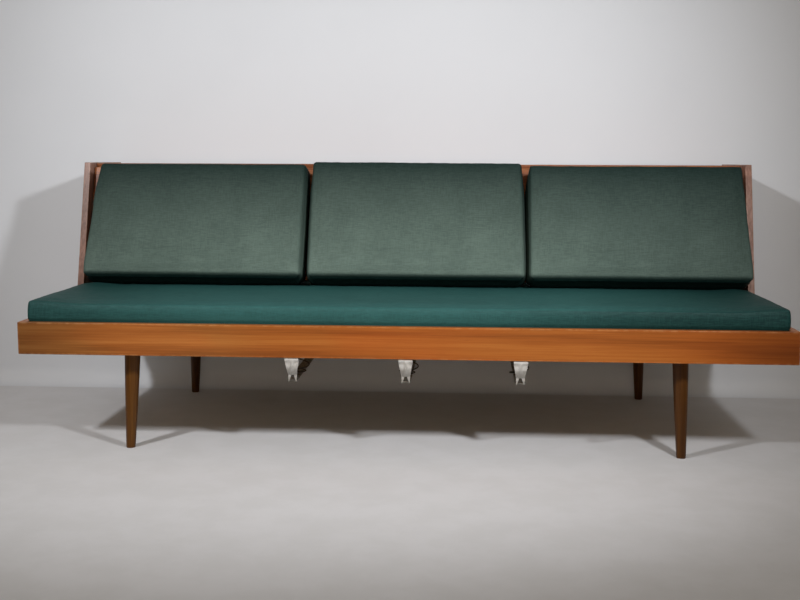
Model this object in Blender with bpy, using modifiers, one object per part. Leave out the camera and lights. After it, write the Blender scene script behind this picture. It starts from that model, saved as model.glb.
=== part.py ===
"""A mid-century daybed: teak box frame on turned legs, sprung slat base, full-depth mattress,
side cheeks with a top board, a back panel that swings up, and three loose back cushions.

Metres, +Z up, +X along the length, front towards -Y. The origin is on the floor, under the
centre of the frame.
"""

import math

import bmesh
import bpy
from mathutils import Matrix, Vector

# Driving dimensions of the frame
LENGTH = 2.000
DEPTH = 0.840
RAIL_BOTTOM = 0.262
RAIL_HEIGHT = 0.084
RAIL_THICK = 0.020
GAP = 0.0003  # kept between pieces that touch
EDGE = 0.0012  # rounding of wooden edges

# Base inside the frame, from the bottom up
BLOCK = 0.045  # side of a triangular corner block
BEARER_WIDTH = 0.090
BEARER_THICK = 0.022
BEARER_LIFT = 0.002  # bearer above the rails' lower edge
SLAT_COUNT = 5
SLAT_PITCH = 0.145
SLAT_WIDTH = 0.090
SLAT_THICK = 0.012
LEDGE_WIDTH = 0.025
LEDGE_HEIGHT = 0.020

# Legs
LEG_X = 0.720  # leg's top centre from the middle
LEG_Y = 0.341
LEG_SPLAY = math.radians(2.0)  # outward along X, and again along Y
LEG_TOP_RADIUS = 0.0205
LEG_FOOT_RADIUS = 0.0120
LEG_CHAMFER = 0.0015
LEG_SHOULDER = 0.012  # straight length below the leg's top
LEG_SPARE = 0.004  # turned longer than needed, then sawn level with the floor
PLATE_SIDE = 0.066
PLATE_THICK = 0.0025
BOLT_RADIUS = 0.004
BOLT_ABOVE = 0.016  # bolt length above the leg's top
BOLT_BELOW = 0.040
BOLT_END_ROOM = 0.002  # bore deeper than the bolt
BOLT_ROOM = 0.0010  # plate's and bearer's holes wider than the bolt, around it

# Springs and the bands that they stand on
BAND_X = (-0.282, 0.012, 0.306)
BAND_WIDTH = 0.026
BAND_THICK = 0.0015
BAND_Z = 0.2000  # underside of a band
HANGER_WIDTH = 0.037
HANGER_THICK = 0.0016
HANGER_FLANGE = 0.015  # folded back under the rail
HANGER_SETBACK = 0.0035  # its face behind the rail's face
HANGER_BOTTOM = 0.1960
HANGER_HEAD = 0.014  # parallel part below the rail
JOG_TOP = 0.2400  # between these heights the sheet bends back to the prongs' line
JOG_BOTTOM = 0.2070
JOG_STEPS = 6
NOTCH_TOP = 0.2125
NOTCH_STEPS = 6  # facets of the notch's round top
PRONG_SHOULDER = 0.002  # where the taper meets the prongs, below the notch's top
PRONG_STRAIGHT = 0.006
PRONG_FLARE = 0.0012
PRONG_OFFSET = 0.0090  # prong centre from the hanger's middle
PRONG_WIDTH = 0.0042
SLOT_CUTTER_OUTSIDE = 0.002
SPRING_Y = (-0.290, 0.0, 0.290)
SPRING_FOOT_RADIUS = 0.014
SPRING_HEAD_RADIUS = 0.044
SPRING_WIRE = 0.0016  # wire radius
SPRING_TURNS = 3.75
SPRING_POINTS_PER_TURN = 10

# Mattress
MATTRESS_TOP = 0.395
MATTRESS_GAP = 0.0020
MATTRESS_ROUND = 0.012

# Back
CHEEK_THICK = 0.019
CHEEK_TOP = 0.757
CHEEK_FRONT = 0.437  # front edge at its foot, behind the front rail's face
LEAN = math.radians(15.0)  # back panel, cushions and cheek edges lean back by this
TOP_BOARD_THICK = 0.013
TOP_BOARD_DROP = 0.003  # its top face below the cheeks' top edges
PANEL_THICK = 0.014
PANEL_BOTTOM = 0.408
PANEL_FACE = 0.486  # panel's front face at its foot, behind the front rail's face
PIVOT_BELOW_BOARD = 0.012
PANEL_ABOVE_PIVOT = 0.012
PANEL_END_GAP = 0.002
BOARD_BEHIND_FACE = 0.024  # board's front edge behind the panel's face, clear of raised cushions
PIN_RADIUS = 0.0030
PIN_BORE = 0.0033
PIN_IN_CHEEK = 0.012
PIN_IN_PANEL = 0.028
PIN_ROOM_INSIDE = 0.003  # bore deeper than the pin in the panel
PIN_ROOM_OUTSIDE = 0.001  # and in the cheek
STOP_SIDE = 0.024
STOP_HEIGHT = 0.060
STOP_ABOVE_PANEL_FOOT = 0.012

# Back cushions: centre along X, width, height along the lean
CUSHIONS = {
    "left_cushion": (-0.634, 0.626, 0.345),
    "middle_cushion": (0.018, 0.620, 0.353),
    "right_cushion": (0.659, 0.620, 0.342),
}
CUSHION_THICK = 0.106
CUSHION_LIFT = 0.002  # cushion's lowest edge above the mattress
CUSHION_OFF_PANEL = 0.0010
CUSHION_ROUND = 0.014

# Derived places
FRONT = -DEPTH / 2
REAR = DEPTH / 2
HALF = LENGTH / 2
RAIL_TOP = RAIL_BOTTOM + RAIL_HEIGHT
BEARER_BOTTOM = RAIL_BOTTOM + BEARER_LIFT
BEARER_TOP = BEARER_BOTTOM + BEARER_THICK
SLAT_BOTTOM = BEARER_TOP + GAP
SLAT_TOP = SLAT_BOTTOM + SLAT_THICK
INNER_X = HALF - RAIL_THICK
INNER_Y = REAR - RAIL_THICK
CHEEK_INNER = HALF - CHEEK_THICK
BOARD_TOP = CHEEK_TOP - TOP_BOARD_DROP
BOARD_BOTTOM = BOARD_TOP - TOP_BOARD_THICK
PIVOT_Z = BOARD_BOTTOM - PIVOT_BELOW_BOARD
PLATE_BOTTOM = BEARER_BOTTOM - PLATE_THICK
# A board's outline in its local XY, turned so that local X, Y, Z are the world's Y, Z, X
STAND = Matrix(((0, 0, 1, 0), (1, 0, 0, 0), (0, 1, 0, 0), (0, 0, 0, 1)))


def panel_face_y(z):
    """Y of the back panel's front face at height z."""
    return FRONT + PANEL_FACE + (z - PANEL_BOTTOM) * math.tan(LEAN)


PIVOT_Y = panel_face_y(PIVOT_Z) + PANEL_THICK / 2 / math.cos(LEAN)

parts = bpy.data.collections.new("daybed")
cutters = bpy.data.collections.new("cutters")


def make_material(name, color, roughness, metallic=0.0):
    material = bpy.data.materials.new(name)
    material.use_nodes = True
    shader = material.node_tree.nodes["Principled BSDF"]
    shader.inputs["Base Color"].default_value = (*color, 1.0)
    shader.inputs["Roughness"].default_value = roughness
    shader.inputs["Metallic"].default_value = metallic
    return material


def keep(obj, name, material):
    """Names the object and files it with the daybed's parts."""
    obj.name = obj.data.name = name
    obj.data.materials.clear()
    obj.data.materials.append(material)
    for collection in list(obj.users_collection):
        collection.objects.unlink(obj)
    parts.objects.link(obj)
    return obj


def apply_scale(obj):
    obj.data.transform(Matrix.Diagonal((*obj.scale, 1.0)))
    obj.scale = (1.0, 1.0, 1.0)


def add_bevel(obj, width, segments=1):
    bevel = obj.modifiers.new("Bevel", "BEVEL")
    bevel.width = width
    bevel.segments = segments
    bevel.limit_method = "ANGLE"
    bevel.angle_limit = math.radians(30)
    return bevel


def make_box(name, low, high, material, bevel=EDGE):
    """A box from its lowest to its highest corner, with rounded edges."""
    centre = [(a + b) / 2 for a, b in zip(low, high)]
    bpy.ops.mesh.primitive_cube_add(size=1.0, location=centre)
    obj = bpy.context.active_object
    obj.scale = [b - a for a, b in zip(low, high)]
    apply_scale(obj)
    if bevel:
        add_bevel(obj, bevel)
    return keep(obj, name, material)


def make_outline(name, points, thickness, material, bevel=0.0):
    """A flat board: points is its outline in local XY, and it is centred on the local XY plane."""
    curve = bpy.data.curves.new(name, "CURVE")
    curve.dimensions = "2D"
    curve.fill_mode = "BOTH"
    curve.extrude = thickness / 2
    spline = curve.splines.new("POLY")
    spline.points.add(len(points) - 1)
    for point, (x, y) in zip(spline.points, points):
        point.co = (x, y, 0.0, 1.0)
    spline.use_cyclic_u = True
    source = bpy.data.objects.new(name, curve)
    bpy.context.scene.collection.objects.link(source)
    obj = mesh_from(source)
    if bevel:
        add_bevel(obj, bevel)
    return keep(obj, name, material)


def mesh_from(source):
    """A mesh object made from a curve object, with its caps welded on."""
    graph = bpy.context.evaluated_depsgraph_get()
    mesh = bpy.data.meshes.new_from_object(source.evaluated_get(graph))
    shape = bmesh.new()
    shape.from_mesh(mesh)
    bmesh.ops.remove_doubles(shape, verts=shape.verts, dist=0.00001)
    bmesh.ops.recalc_face_normals(shape, faces=shape.faces)
    shape.to_mesh(mesh)
    shape.free()
    obj = bpy.data.objects.new(source.name, mesh)
    obj.matrix_world = source.matrix_world
    bpy.context.scene.collection.objects.link(obj)
    bpy.data.objects.remove(source)
    return obj


def make_cutter(name, radius, depth, matrix, vertices=20):
    """A cylinder for Booleans, centred on matrix and running along its Z axis."""
    bpy.ops.mesh.primitive_cylinder_add(vertices=vertices, radius=radius, depth=depth)
    obj = bpy.context.active_object
    obj.matrix_world = matrix
    return file_cutter(obj, name)


def make_box_cutter(name, low, high):
    centre = [(a + b) / 2 for a, b in zip(low, high)]
    bpy.ops.mesh.primitive_cube_add(size=1.0, location=centre)
    obj = bpy.context.active_object
    obj.scale = [b - a for a, b in zip(low, high)]
    apply_scale(obj)
    return file_cutter(obj, name)


def file_cutter(obj, name):
    obj.name = obj.data.name = name
    for collection in list(obj.users_collection):
        collection.objects.unlink(obj)
    cutters.objects.link(obj)
    obj.hide_render = True
    obj.display_type = "WIRE"
    return obj


def cut(obj, cutter):
    boolean = obj.modifiers.new("Cut", "BOOLEAN")
    boolean.operation = "DIFFERENCE"
    boolean.object = cutter
    return boolean


def smooth_round(obj, angle=35):
    obj.data.shade_smooth()
    obj.data.set_sharp_from_angle(angle=math.radians(angle))


def make_rails(wood):
    """Four rails with mitred corners. Each outline is drawn from above."""
    mitre = RAIL_THICK - GAP
    long_rail = [(-HALF, 0), (HALF, 0), (HALF - mitre, mitre), (-HALF + mitre, mitre)]
    end = REAR - GAP
    short_rail = [(0, -end), (mitre, -end + mitre), (mitre, end - mitre), (0, end)]
    middle = RAIL_BOTTOM + RAIL_HEIGHT / 2
    front = make_outline("front_rail", long_rail, RAIL_HEIGHT, wood, EDGE)
    front.location = (0, FRONT, middle)
    long_mirrored = [(x, -y) for x, y in reversed(long_rail)]
    rear = make_outline("rear_rail", long_mirrored, RAIL_HEIGHT, wood, EDGE)
    rear.location = (0, REAR, middle)
    left = make_outline("left_end_rail", short_rail, RAIL_HEIGHT, wood, EDGE)
    left.location = (-HALF, 0, middle)
    short_mirrored = [(-x, y) for x, y in reversed(short_rail)]
    right = make_outline("right_end_rail", short_mirrored, RAIL_HEIGHT, wood, EDGE)
    right.location = (HALF, 0, middle)


def make_corner_blocks(wood):
    """A triangular block glued into each corner of the frame, under the slats' level."""
    for x_name, x_sign in (("left", -1), ("right", 1)):
        for y_name, y_sign in (("front", -1), ("rear", 1)):
            corner = (x_sign * (INNER_X - GAP), y_sign * (INNER_Y - GAP))
            outline = [(0, 0), (-x_sign * BLOCK, 0), (0, -y_sign * BLOCK)]
            name = f"{y_name}_{x_name}_corner_block"
            block = make_outline(name, outline, BEARER_THICK, wood)
            block.location = (*corner, BEARER_BOTTOM + BEARER_THICK / 2)


def make_base(wood):
    """Bearers across the frame for the legs, ledges at the ends, and lengthwise slats."""
    for name, x in (("left_bearer", -LEG_X), ("right_bearer", LEG_X)):
        low = (x - BEARER_WIDTH / 2, -INNER_Y + GAP, BEARER_BOTTOM)
        high = (x + BEARER_WIDTH / 2, INNER_Y - GAP, BEARER_TOP)
        make_box(name, low, high, wood)
    ledge_half = INNER_Y - BLOCK - 2 * GAP - EDGE
    for name, sign in (("left_ledge", -1), ("right_ledge", 1)):
        outer = sign * (INNER_X - GAP)
        inner = outer - sign * LEDGE_WIDTH
        low = (min(outer, inner), -ledge_half, BEARER_TOP - LEDGE_HEIGHT)
        high = (max(outer, inner), ledge_half, BEARER_TOP)
        make_box(name, low, high, wood)
    slat_half = INNER_X - 2 * GAP
    for index in range(SLAT_COUNT):
        y = (index - (SLAT_COUNT - 1) / 2) * SLAT_PITCH
        low = (-slat_half, y - SLAT_WIDTH / 2, SLAT_BOTTOM)
        high = (slat_half, y + SLAT_WIDTH / 2, SLAT_TOP)
        make_box(f"slat_{index + 1}", low, high, wood)


def leg_matrix(x_sign, y_sign):
    """The leg's frame: origin at its top centre, -Z down the leg."""
    tilt = math.tan(LEG_SPLAY)
    down = Vector((x_sign * tilt, y_sign * tilt, -1.0)).normalized()
    turn = (-down).to_track_quat("Z", "Y").to_matrix().to_4x4()
    high_side = LEG_TOP_RADIUS * math.hypot(tilt, tilt)
    top = Vector((x_sign * LEG_X, y_sign * LEG_Y, PLATE_BOTTOM - GAP - high_side))
    return Matrix.Translation(top) @ turn


def make_leg(name, matrix, wood, floor_cutter):
    """A turned leg: straight shoulder, long taper and a foot sawn level with the floor."""
    length = matrix.translation.z + LEG_SPARE
    profile = [
        (0.0, 0.0),
        (LEG_TOP_RADIUS - LEG_CHAMFER, 0.0),
        (LEG_TOP_RADIUS, -LEG_CHAMFER),
        (LEG_TOP_RADIUS, -LEG_SHOULDER),
        (LEG_FOOT_RADIUS, -length),
        (0.0, -length),
    ]
    mesh = bpy.data.meshes.new(name)
    edges = [(i, i + 1) for i in range(len(profile) - 1)]
    mesh.from_pydata([(x, 0.0, z) for x, z in profile], edges, [])
    obj = bpy.data.objects.new(name, mesh)
    obj.matrix_world = matrix
    screw = obj.modifiers.new("Screw", "SCREW")
    screw.steps = screw.render_steps = 24
    screw.use_merge_vertices = True
    screw.merge_threshold = 0.00001
    bore_depth = BOLT_BELOW + BOLT_END_ROOM
    cut(obj, make_cutter(name + "_bore", BOLT_RADIUS + GAP, 2 * bore_depth, matrix))
    cut(obj, floor_cutter)
    keep(obj, name, wood)


def make_legs(wood, steel):
    floor_cutter = make_box_cutter("floor_cutter", (-HALF, -REAR, -DEPTH / 10), (HALF, REAR, 0.0))
    for x_name, x_sign in (("left", -1), ("right", 1)):
        bearer = bpy.data.objects[f"{x_name}_bearer"]
        for y_name, y_sign in (("front", -1), ("rear", 1)):
            corner = f"{y_name}_{x_name}"
            matrix = leg_matrix(x_sign, y_sign)
            make_leg(f"{corner}_leg", matrix, wood, floor_cutter)
            x, y = x_sign * LEG_X, y_sign * LEG_Y
            half = PLATE_SIDE / 2
            low = (x - half, y - half, PLATE_BOTTOM)
            high = (x + half, y + half, BEARER_BOTTOM - GAP)
            plate = make_box(f"{corner}_leg_plate", low, high, steel, 0.0)
            through = 4 * BEARER_THICK
            hole = make_cutter(f"{corner}_bolt_hole", BOLT_RADIUS + BOLT_ROOM, through, matrix)
            cut(plate, hole)
            cut(bearer, hole)
            middle = matrix @ Matrix.Translation((0, 0, (BOLT_ABOVE - BOLT_BELOW) / 2))
            bpy.ops.mesh.primitive_cylinder_add(
                vertices=12, radius=BOLT_RADIUS, depth=BOLT_ABOVE + BOLT_BELOW
            )
            bolt = bpy.context.active_object
            bolt.matrix_world = middle
            keep(bolt, f"{corner}_leg_bolt", steel)
            smooth_round(bolt)


def hanger_outline(top):
    """A hanger's sheet before bending: flange, head, tapering body and two prongs with a notch between."""
    head = HANGER_WIDTH / 2
    prong_out = PRONG_OFFSET + PRONG_WIDTH / 2
    prong_in = PRONG_OFFSET - PRONG_WIDTH / 2
    notch_centre = NOTCH_TOP - prong_in
    right = [
        (head, top + HANGER_FLANGE),
        (head, RAIL_BOTTOM - HANGER_HEAD),
        (prong_out + PRONG_FLARE, NOTCH_TOP - PRONG_SHOULDER),
        (prong_out, NOTCH_TOP - PRONG_STRAIGHT),
        (prong_out, HANGER_BOTTOM),
        (prong_in, HANGER_BOTTOM),
        (prong_in, notch_centre),
    ]
    for step in range(1, NOTCH_STEPS // 2 + 1):
        angle = step * math.pi / NOTCH_STEPS
        right.append((prong_in * math.cos(angle), notch_centre + prong_in * math.sin(angle)))
    left = [(-x, z) for x, z in reversed(right[:-1])]
    return right + left


def hanger_depth(z):
    """How far the hanger's sheet is behind the rail's face at height z, before the flange."""
    share = min(1.0, max(0.0, (JOG_TOP - z) / (JOG_TOP - JOG_BOTTOM)))
    smooth = share * share * (3 - 2 * share)
    prongs = RAIL_THICK + GAP + HANGER_THICK / 2
    return HANGER_SETBACK + (prongs - HANGER_SETBACK) * smooth


def make_hanger(name, x, sign, material):
    """A sheet cut to its outline, bent back at its foot, and its flange folded under the rail."""
    top = RAIL_BOTTOM - GAP - HANGER_THICK / 2
    outline = hanger_outline(top)
    shape = bmesh.new()
    corners = [shape.verts.new((across, up, 0.0)) for across, up in outline]
    edges = [shape.edges.new((a, b)) for a, b in zip(corners, corners[1:] + corners[:1])]
    bmesh.ops.triangle_fill(shape, edges=edges, use_beauty=True)
    jog = [JOG_BOTTOM + (JOG_TOP - JOG_BOTTOM) * step / JOG_STEPS for step in range(JOG_STEPS + 1)]
    for height in jog + [top]:
        everything = shape.verts[:] + shape.edges[:] + shape.faces[:]
        bmesh.ops.bisect_plane(shape, geom=everything, plane_co=(0, height, 0), plane_no=(0, 1, 0))
    for vert in shape.verts:
        across, up, _ = vert.co
        depth = hanger_depth(up) + max(0.0, up - top)
        vert.co = (x + across, sign * (REAR - depth), min(up, top))
    bmesh.ops.recalc_face_normals(shape, faces=shape.faces)
    mesh = bpy.data.meshes.new(name)
    shape.to_mesh(mesh)
    shape.free()
    obj = bpy.data.objects.new(name, mesh)
    solidify = obj.modifiers.new("Solidify", "SOLIDIFY")
    solidify.thickness = HANGER_THICK
    solidify.offset = 0.0
    solidify.use_even_offset = True
    keep(obj, name, material)


def make_spring_bands(white_steel, steel, spring_steel):
    """Three steel bands from front to rear. Each hangs on two forked hangers and carries springs."""
    reach = INNER_Y - GAP
    hanger_y = reach - HANGER_THICK / 2
    slot_half_x = PRONG_WIDTH / 2 + GAP
    slot_half_y = HANGER_THICK / 2 + GAP
    slot_low = BAND_Z - SLOT_CUTTER_OUTSIDE
    slot_high = BAND_Z + BAND_THICK + SLOT_CUTTER_OUTSIDE
    for side, x in zip(("left", "middle", "right"), BAND_X):
        for end, sign in (("front", -1), ("rear", 1)):
            make_hanger(f"{end}_hanger_{side}", x, sign, white_steel)
        low = (x - BAND_WIDTH / 2, -reach, BAND_Z)
        high = (x + BAND_WIDTH / 2, reach, BAND_Z + BAND_THICK)
        band = make_box(f"{side}_spring_band", low, high, steel, 0.0)
        for end, sign in (("front", -1), ("rear", 1)):
            for prong, offset in (("a", -PRONG_OFFSET), ("b", PRONG_OFFSET)):
                slot = make_box_cutter(
                    f"{side}_{end}_slot_{prong}",
                    (x + offset - slot_half_x, sign * hanger_y - slot_half_y, slot_low),
                    (x + offset + slot_half_x, sign * hanger_y + slot_half_y, slot_high),
                )
                cut(band, slot)
        for place, y in zip(("front", "middle", "rear"), SPRING_Y):
            make_spring(f"{side}_spring_{place}", x, y, spring_steel)


def make_spring(name, x, y, material):
    """A conical coil spring: narrow on the band, wide under the slat, its end turns flat."""
    low = BAND_Z + BAND_THICK + SPRING_WIRE + GAP
    high = SLAT_BOTTOM - SPRING_WIRE - GAP
    count = round(SPRING_TURNS * SPRING_POINTS_PER_TURN)
    curve = bpy.data.curves.new(name, "CURVE")
    curve.dimensions = "3D"
    curve.bevel_depth = SPRING_WIRE
    curve.bevel_resolution = 1
    curve.use_fill_caps = True
    spline = curve.splines.new("POLY")
    spline.points.add(count)
    for index, point in enumerate(spline.points):
        share = index / count
        angle = 2 * math.pi * SPRING_TURNS * share
        radius = SPRING_FOOT_RADIUS + (SPRING_HEAD_RADIUS - SPRING_FOOT_RADIUS) * share
        rise = share - math.sin(2 * math.pi * share) / (2 * math.pi)
        z = low + (high - low) * rise
        point.co = (radius * math.cos(angle), radius * math.sin(angle), z, 1.0)
    obj = bpy.data.objects.new(name, curve)
    obj.location = (x, y, 0)
    keep(obj, name, material)


def make_mattress(fabric):
    half = INNER_X - MATTRESS_GAP
    low = (-half, -INNER_Y + MATTRESS_GAP, SLAT_TOP + GAP)
    high = (half, INNER_Y - MATTRESS_GAP, MATTRESS_TOP)
    mattress = make_box("mattress", low, high, fabric, 0.0)
    add_bevel(mattress, MATTRESS_ROUND, 2)


def make_cheeks(wood):
    """Side cheeks on the end rails, their front edges leaning like the back."""
    foot = RAIL_TOP + GAP
    front_foot = FRONT + CHEEK_FRONT
    front_top = front_foot + (CHEEK_TOP - foot) * math.tan(LEAN)
    outline = [(front_foot, foot), (REAR, foot), (REAR, CHEEK_TOP), (front_top, CHEEK_TOP)]
    for name, sign in (("left_cheek", -1), ("right_cheek", 1)):
        cheek = make_outline(name, outline, CHEEK_THICK, wood, EDGE)
        cheek.matrix_world = Matrix.Translation((sign * (HALF - CHEEK_THICK / 2), 0, 0)) @ STAND
        cut(cheek, pivot_bore(name + "_bore", sign))


def pivot_bore(name, sign):
    """The bore for a pivot pin, from inside the panel's end to inside the cheek."""
    inner = CHEEK_INNER - PIN_IN_PANEL - PIN_ROOM_INSIDE
    outer = CHEEK_INNER + PIN_IN_CHEEK + PIN_ROOM_OUTSIDE
    along_x = Matrix.Rotation(math.radians(90), 4, "Y")
    middle = Matrix.Translation((sign * (inner + outer) / 2, PIVOT_Y, PIVOT_Z))
    return make_cutter(name, PIN_BORE, outer - inner, middle @ along_x, 16)


def make_back(wood, steel):
    """The top board, the swinging back panel on its two pins, and the blocks that it rests on."""
    board_front = panel_face_y(BOARD_BOTTOM) + BOARD_BEHIND_FACE
    half = CHEEK_INNER - GAP
    make_box("top_board", (-half, board_front, BOARD_BOTTOM), (half, REAR, BOARD_TOP), wood)

    pivot = bpy.data.objects.new("back_panel_pivot", None)
    pivot.location = (0, PIVOT_Y, PIVOT_Z)
    parts.objects.link(pivot)
    panel_half = CHEEK_INNER - PANEL_END_GAP
    length = (PIVOT_Z - PANEL_BOTTOM) / math.cos(LEAN)
    low = (-panel_half, -PANEL_THICK / 2, -length)
    high = (panel_half, PANEL_THICK / 2, PANEL_ABOVE_PIVOT)
    panel = make_box("back_panel", low, high, wood)
    # The panel's origin goes to the pivot, and leaning back brings its foot forward.
    panel.data.transform(Matrix.Translation(panel.location))
    panel.parent = pivot
    panel.location = (0, 0, 0)
    panel.rotation_euler = (-LEAN, 0, 0)
    for side, sign in (("left", -1), ("right", 1)):
        cut(panel, pivot_bore(f"{side}_panel_bore", sign))
        start = sign * (CHEEK_INNER - PIN_IN_PANEL)
        end = sign * (CHEEK_INNER + PIN_IN_CHEEK)
        bpy.ops.mesh.primitive_cylinder_add(
            vertices=16,
            radius=PIN_RADIUS,
            depth=abs(end - start),
            location=((start + end) / 2, PIVOT_Y, PIVOT_Z),
            rotation=(0, math.radians(90), 0),
        )
        pin = keep(bpy.context.active_object, f"{side}_pivot_pin", steel)
        smooth_round(pin)
        make_stop_block(f"{side}_stop_block", sign, wood)


def make_stop_block(name, sign, wood):
    """A block on the cheek whose front face leans like the panel that rests on it."""
    outer = sign * (CHEEK_INNER - GAP)
    z_low = PANEL_BOTTOM + STOP_ABOVE_PANEL_FOOT
    z_high = z_low + STOP_HEIGHT
    behind = (PANEL_THICK + GAP) / math.cos(LEAN)
    front_low = panel_face_y(z_low) + behind
    front_high = panel_face_y(z_high) + behind
    rear = front_high + STOP_SIDE
    outline = [(front_low, z_low), (rear, z_low), (rear, z_high), (front_high, z_high)]
    block = make_outline(name, outline, STOP_SIDE, wood)
    block.matrix_world = Matrix.Translation((outer - sign * STOP_SIDE / 2, 0, 0)) @ STAND


def make_cushions(fabric):
    """Loose cushions that lean on the panel. Each one's lowest edge is its rear one."""
    base = MATTRESS_TOP + CUSHION_LIFT
    off_face = CUSHION_OFF_PANEL / math.cos(LEAN)
    foot = Vector((0, panel_face_y(base) - off_face, base))
    for name, (x, width, height) in CUSHIONS.items():
        low = (-width / 2, -CUSHION_THICK, 0)
        high = (width / 2, 0, height)
        cushion = make_box(name, low, high, fabric, 0.0)
        cushion.data.transform(Matrix.Translation(cushion.location))
        cushion.location = foot + Vector((x, 0, 0))
        cushion.rotation_euler = (-LEAN, 0, 0)
        add_bevel(cushion, CUSHION_ROUND, 2)


def main():
    for obj in list(bpy.data.objects):
        bpy.data.objects.remove(obj)
    bpy.context.scene.collection.children.link(parts)
    bpy.context.scene.collection.children.link(cutters)
    teak = make_material("teak", (0.38, 0.13, 0.035), 0.42)
    dark_teak = make_material("dark_teak", (0.20, 0.075, 0.035), 0.45)
    beech = make_material("stained_beech", (0.14, 0.065, 0.020), 0.40)
    pine = make_material("pine", (0.50, 0.34, 0.18), 0.60)
    steel = make_material("steel", (0.45, 0.45, 0.44), 0.35, 1.0)
    white_steel = make_material("white_steel", (0.72, 0.71, 0.68), 0.45)
    spring_steel = make_material("spring_steel", (0.05, 0.045, 0.04), 0.50, 0.8)
    cushion_fabric = make_material("cushion_fabric", (0.055, 0.105, 0.085), 0.85)
    mattress_fabric = make_material("mattress_fabric", (0.025, 0.100, 0.090), 0.85)
    make_rails(teak)
    make_corner_blocks(pine)
    make_base(pine)
    make_legs(beech, steel)
    make_spring_bands(white_steel, steel, spring_steel)
    make_mattress(mattress_fabric)
    make_cheeks(dark_teak)
    make_back(dark_teak, steel)
    make_cushions(cushion_fabric)
    cutters.hide_render = True


main()
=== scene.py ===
"""Looks of the daybed: rounded teak boards, turned legs, pressed hangers, coil springs, and a
mattress and three back cushions filled by cloth simulation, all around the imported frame.

Metres, +Z up, front towards -Y.
"""

import math

import bmesh
import bpy
import numpy as np
from mathutils import Matrix, Vector, noise


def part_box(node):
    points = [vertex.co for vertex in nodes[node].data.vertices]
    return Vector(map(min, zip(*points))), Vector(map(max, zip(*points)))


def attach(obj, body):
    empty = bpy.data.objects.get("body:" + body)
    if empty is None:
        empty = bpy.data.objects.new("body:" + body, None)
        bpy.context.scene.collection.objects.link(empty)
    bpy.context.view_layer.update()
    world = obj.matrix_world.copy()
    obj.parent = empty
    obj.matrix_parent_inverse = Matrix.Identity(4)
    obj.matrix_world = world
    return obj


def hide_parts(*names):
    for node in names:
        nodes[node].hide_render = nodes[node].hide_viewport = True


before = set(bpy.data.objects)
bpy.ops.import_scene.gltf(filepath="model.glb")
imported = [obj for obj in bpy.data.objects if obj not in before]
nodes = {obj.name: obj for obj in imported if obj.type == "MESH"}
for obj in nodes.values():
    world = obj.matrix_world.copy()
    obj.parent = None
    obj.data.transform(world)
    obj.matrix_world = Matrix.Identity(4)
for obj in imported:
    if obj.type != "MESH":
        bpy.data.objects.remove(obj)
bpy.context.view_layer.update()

# Camera
CAMERA_AT = (0.1585, -3.1237, 0.7668)
CAMERA_YAW = math.radians(3.4038)  # turned left
CAMERA_PITCH = math.radians(7.3892)  # looking down
CAMERA_ROLL = math.radians(0.2097)
CAMERA_LENS = 48.50

# Lean of the back panel, the cushions and the cheeks' front edges
LEAN = math.radians(15.0)

# Wooden boards
BOARD_ROUND = 0.0016
WEAR_WIDTH = 0.0035  # band along an edge where the finish wears
SMOOTH_ANGLE = math.radians(40)

# Soft goods
CUSHION_VOXEL = 0.0065
MATTRESS_VOXEL = 0.010
CLOTH_FRAMES = 14
CLOTH_PRESSURE = 4.0
SEAM_DEPTH = 0.0016
SEAM_WIDTH = 0.0030
SEAM_HOLD = 0.85  # share of the filling's movement that a sewn edge takes away
SEAM_REACH = (0.040, 0.008)  # distances from an edge between which its hold builds up


def node_points(name):
    """The vertices of a CAD node as an array."""
    return np.array([vert.co for vert in nodes[name].data.vertices], float)


def link(obj):
    bpy.context.scene.collection.objects.link(obj)
    return obj


def object_from(shape, name):
    """A linked object from a bmesh, which is freed."""
    mesh = bpy.data.meshes.new(name)
    shape.to_mesh(mesh)
    shape.free()
    return link(bpy.data.objects.new(name, mesh))


def lathe(profile, steps):
    """A shape turned round the Z axis from its (radius, height) profile."""
    shape = bmesh.new()
    verts = [shape.verts.new((radius, 0.0, z)) for radius, z in profile]
    edges = [shape.edges.new(pair) for pair in zip(verts, verts[1:])]
    around = {"axis": (0, 0, 1), "cent": (0, 0, 0), "angle": 2 * math.pi}
    bmesh.ops.spin(shape, geom=verts + edges, steps=steps, **around)
    bmesh.ops.remove_doubles(shape, verts=shape.verts, dist=0.00001)
    return shape


def cut(shape, place, normal, clear=False):
    """Cuts a shape along a plane, and clears what lies beyond it if asked."""
    everything = shape.verts[:] + shape.edges[:] + shape.faces[:]
    return bmesh.ops.bisect_plane(
        shape, geom=everything, plane_co=place, plane_no=normal, clear_outer=clear
    )


def shade_smooth(obj, angle=SMOOTH_ANGLE):
    obj.data.shade_smooth()
    obj.data.set_sharp_from_angle(angle=angle)


def dress(obj, material, body, replaced=()):
    """Gives a piece its material, its body and the nodes that it stands for."""
    obj.data.materials.clear()
    obj.data.materials.append(material)
    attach(obj, body)
    if replaced:
        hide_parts(*replaced)
    return obj


# ---------------------------------------------------------------------------------------------
# Materials
# ---------------------------------------------------------------------------------------------

RAIL_TINTS_AND_END_SHADE = (
    # where it starts along X, where it is full, and the tint; the grey tints paint shade at the rails' ends,
    # the coloured ones shift the wood's tone
    (-0.28, -0.62, (1.08, 1.36, 1.90)),
    (-0.68, -1.02, (0.50, 0.50, 0.52)),
    (0.60, 0.85, (0.99, 0.87, 0.74)),
    (0.68, 1.02, (0.62, 0.62, 0.62)),
)
PRONG_SHADE_HEIGHTS = (0.262, 0.196)  # heights on a hanger where its painted shade starts and where it is full
WEAVE_PITCH = 0.0022
SLUB_SPAN = (0.40, 0.60)  # noise values between which a thread goes from dark to light


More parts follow.
